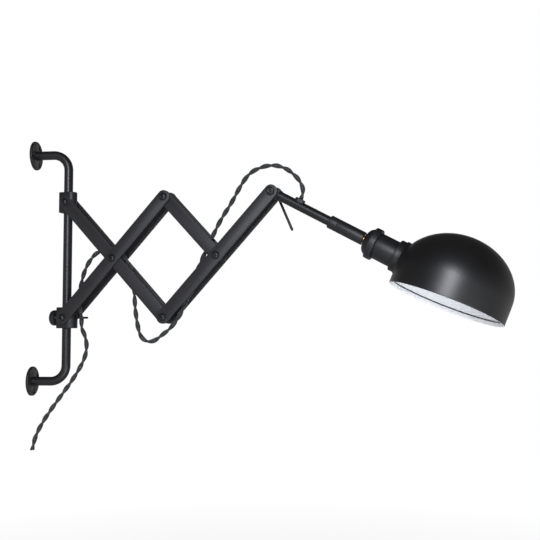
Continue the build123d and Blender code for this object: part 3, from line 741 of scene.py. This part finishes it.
for node, start, length in (
    ("shade_ring", shade_ring_start, 8.6),
    ("shade_inner_ring", shade_seat + 1, 4.0),
):
    profile = [
        (barrel_radius, start),
        (collar_radius - collar_edge, start),
        (collar_radius, start + collar_edge),
        (collar_radius, start + length - collar_edge),
        (collar_radius - collar_edge, start + length),
        (barrel_radius, start + length),
    ]
    place_piece(
        node + "_nut", soften(turned_piece(profile, 96, closed=True), 0.18), "head", black_paint,
        [node], arm_frame,
    )

brass = finish(
    "brass",
    lambda wire: {
        "Base Color": wire.noise(wire.node("TexCoord", out=3), 150, 4.0)
        .between(0.3, 0.7)
        .mix((0.30, 0.17, 0.07, 1), (0.44, 0.27, 0.12, 1)),
        "Roughness": wire.noise(wire.node("TexCoord", out=3), 700, 2.0) * 0.3 + 0.2,
        "Normal": wire.noise(wire.node("TexCoord", out=3), 1500).bump(0.03, 0.5),
    },
    Metallic=1.0,
)
ceramic = finish(
    "ceramic",
    lambda wire: {
        "Base Color": wire.noise(wire.node("TexCoord", out=3), 120, 4.0)
        .between(0.3, 0.7)
        .mix((0.62, 0.60, 0.55, 1), (0.70, 0.68, 0.64, 1)),
        "Roughness": wire.noise(wire.node("TexCoord", out=3), 300, 2.0) * 0.2 + 0.12,
        "Normal": wire.noise(wire.node("TexCoord", out=3), 260).bump(0.08, 0.4),
    },
)
insert_end = barrel_mouth - 3
insert_floor = barrel_start + 16
shell_radius = 14.4
shell_bore = 13.6
shell_profile = [
    (shell_radius, insert_floor),
    (shell_radius, insert_end - 3),
    (shell_bore, insert_end - 3),
]
turns = 7
turn_height = (insert_end - 3.4 - insert_floor) / turns
for n in range(turns):
    top_of_turn = insert_end - 3.4 - n * turn_height
    shell_profile += [
        (13.62, top_of_turn),
        (13.75, top_of_turn - 0.2 * turn_height),
        (14.15, top_of_turn - 0.5 * turn_height),
        (13.75, top_of_turn - 0.8 * turn_height),
    ]
shell_profile.append((shell_bore, insert_floor))
place_piece(
    "thread_shell", turned_piece(shell_profile, 72, closed=True), "head", brass,
    ["screw_shell"], arm_frame,
)
insert_profile = [
    (0, barrel_start),
    (barrel_bore, barrel_start),
    (barrel_bore, insert_end - 0.6),
    (17.0, insert_end),
    (15.0, insert_end),
    (shell_radius, insert_end - 0.6),
    (shell_radius, insert_floor),
    (0, insert_floor),
]
place_piece(
    "ceramic_insert", turned_piece(insert_profile), "head", ceramic, ["holder_insert"],
    arm_frame,
)
for node, material, slot in (
    ("lamp_nipple", brass, "brass"),
    ("swivel_bushing", brass, "brass"),
    ("swivel_spigot", brass, "brass"),
    ("centre_contact", brass, "brass"),
    ("swivel_clip", plated_steel, "zinc_steel"),
    ("terminal_screws", plated_steel, "zinc_steel"),
    ("tube_joint_stud", plated_steel, "zinc_steel"),
):
    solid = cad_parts[node]
    solid.data.materials.clear()
    solid.data.materials.append(material)

# ---- shade ---------------------------------------------------------------------------------
# A spun steel dome, satin black outside and white enamel inside, with its edge folded inward
# for a hem. It is held by its side, on a flat seat pressed for the collars.
shade_paint = coated(
    "shade_paint",
    (0.003, 0.0029, 0.0033, 1),
    (0.0045, 0.0043, 0.0049, 1),
    0.40,
    Coat_Weight=0.5,
    Coat_Roughness=0.38,
)
enamel = finish(
    "enamel",
    lambda wire: {
        "Base Color": wire.noise(wire.node("TexCoord", out=3), 30, 4.0)
        .between(0.3, 0.7)
        .mix((0.80, 0.81, 0.83, 1), (0.83, 0.84, 0.86, 1)),
        "Roughness": wire.noise(wire.node("TexCoord", out=3), 60, 2.0) * 0.2 + 0.25,
        "Normal": wire.noise(wire.node("TexCoord", out=3), 500, 2.0).bump(0.02, 0.4),
    },
)
shade_radius = 83.2
shade_skirt = 28.9
hem_height = 6
shade_lean = radians(6.9)
head_turn = radians(6.5)
rim_reach = 298.1  # the arm's pivot to the middle of the mouth, along the arm
rim_drop = 29.4  # the arm's axis down to the mouth
seat_edge = 25.2  # faces nearer to the arm's axis than this, and to the seat, are the seat's
seat_nearby = 12
seat_face = (19.8, 24.6)  # its flat inner face, from the bore outward
head_up = arm_up * cos(head_turn) + across * sin(head_turn)
shade_up = head_up * cos(shade_lean) - arm_dir * sin(shade_lean)
shade_out = arm_dir * cos(shade_lean) + head_up * sin(shade_lean)
rim_centre = arm_start + arm_dir * rim_reach - head_up * rim_drop
bm = node_copy("shade")
for face in bm.faces:
    middle = face.calc_center_median()
    from_arm = middle - arm_start
    seat_depth = from_arm.dot(arm_dir) - shade_seat
    seat_reach = from_arm.cross(arm_dir).length
    from_rim = middle - rim_centre
    height = from_rim.dot(shade_up)
    outward = from_rim - shade_up * max(0, min(height, shade_skirt))
    if seat_reach < seat_edge and seat_depth < seat_nearby:
        inside = seat_depth > 0.5 and seat_face[0] < seat_reach < seat_face[1]
    else:
        inside = face.normal.dot(outward.normalized()) < 0.3
    face.material_index = int(inside)
place_piece("shade_dome", bm, "head", (shade_paint, enamel), ["shade"])

# A thin dark ring on the wall, just above the hem, is painted shade: it stands in for the shadow line along
# the hem's top edge.
wall_face = shade_radius - 1
hem_shadow_profile = [
    (wall_face + 0.1, hem_height - 0.1),
    (wall_face - 0.8, hem_height - 0.1),
    (wall_face - 0.8, hem_height + 1.3),
    (wall_face + 0.1, hem_height + 1.8),
]
bm = turned_piece(hem_shadow_profile, 128, closed=True)
bm.transform(axes_matrix(rim_centre, shade_out, shade_up))
bm.transform(Matrix.Scale(0.001, 4))
mesh = bpy.data.meshes.new("hem_shadow_ring")
bm.to_mesh(mesh)
bm.free()
# The painted shade ring takes the shade's black paint.
mesh.materials.append(shade_paint)
hem_shadow_ring = bpy.data.objects.new("hem_shadow_ring", mesh)
scene.collection.objects.link(hem_shadow_ring)
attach(hem_shadow_ring, "head")

# ---- floor and light -----------------------------------------------------------------------
# A pale floor well below the lamp and a white surround, both dimmer where gloss mirrors them.
# An oval lamp beside the camera draws the highlight on the shade, and a soft one low in front
# lights its inside.
floor_height = -0.55
bm = bmesh.new()
bmesh.ops.create_circle(bm, segments=64, radius=8, cap_ends=True)
floor_mesh = bpy.data.meshes.new("floor")
bm.to_mesh(floor_mesh)
bm.free()
floor = bpy.data.objects.new("floor", floor_mesh)
floor.location = (0.35, 0, floor_height)
scene.collection.objects.link(floor)
floor_material = bpy.data.materials.new("floor")
floor_material.use_nodes = True
wire = Wire(floor_material.node_tree)
floor_material.node_tree.nodes.clear()
gloss = wire.node("LightPath", out=3)
pale = gloss.mix((0.85, 0.85, 0.85, 1), (0.35, 0.35, 0.35, 1))
matt = wire.node("BsdfDiffuse", {}, {"Color": pale})
white = wire.node("Emission", {}, {"Color": (1, 1, 1, 1), "Strength": 1.0})
seen = wire.node("LightPath") + gloss * 0.15
place = wire.node("TexCoord", out=3)
from_middle = wire.node("VectorMath", {"operation": "LENGTH"}, {0: place}, out=1)
plain = from_middle.between(0.5, 1.8) * 0.4 + 0.6
mixed = wire.node("MixShader", {}, {0: seen * plain, 1: matt, 2: white})
out = floor_material.node_tree.nodes.new("ShaderNodeOutputMaterial")
floor_material.node_tree.links.new(mixed.socket, out.inputs["Surface"])
floor.data.materials.append(floor_material)

world = bpy.data.worlds.new("studio")
scene.world = world
world.use_nodes = True
wire = Wire(world.node_tree)
world.node_tree.nodes.clear()
place = wire.node("TexCoord")
height = wire.node("SeparateXYZ", {}, {0: place}, out=2)
behind = wire.node("SeparateXYZ", {}, {0: place}, out=1).between(0.9, 0.99)
right = wire.node("SeparateXYZ", {}, {0: place}).between(0.2, 0.9)
gloss = wire.node("LightPath", out=3)
overhead = height.between(0.1, 0.5)
dimmer = overhead * 0.36 + (1 - overhead) * right * 0.2
surround = 0.65 - gloss * (0.25 + dimmer - behind * 0.6)
camera_ray = wire.node("LightPath")
strength = wire.node("Mix", {"data_type": "FLOAT"}, {0: camera_ray, 2: surround, 3: 1.0})
background = wire.node("Background", {}, {"Color": (1, 1, 1, 1), "Strength": strength})
out = world.node_tree.nodes.new("ShaderNodeOutputWorld")
world.node_tree.links.new(background.socket, out.inputs["Surface"])


def soft_lamp(name, place, aim, width, height, power, colour):
    """An oval soft lamp at a place, turned to a point."""
    lamp = bpy.data.lights.new(name, "AREA")
    lamp.shape = "ELLIPSE"
    lamp.size = width
    lamp.size_y = height
    lamp.energy = power
    lamp.color = colour
    holder = bpy.data.objects.new(name, lamp)
    holder.location = place
    holder.rotation_euler = (Vector(aim) - Vector(place)).to_track_quat("-Z", "Y").to_euler()
    scene.collection.objects.link(holder)


soft_lamp(
    "beside_camera", (0.41, -1.98, 0.70), (0.636, -0.178, 0.14), 0.7, 1.0, 27, (0.88, 0.92, 1)
)
soft_lamp("from_below", (0.78, -0.8, -0.5), (0.62, -0.1, 0.15), 1.2, 0.8, 9, (0.92, 0.96, 1))

scene.view_settings.view_transform = "Standard"
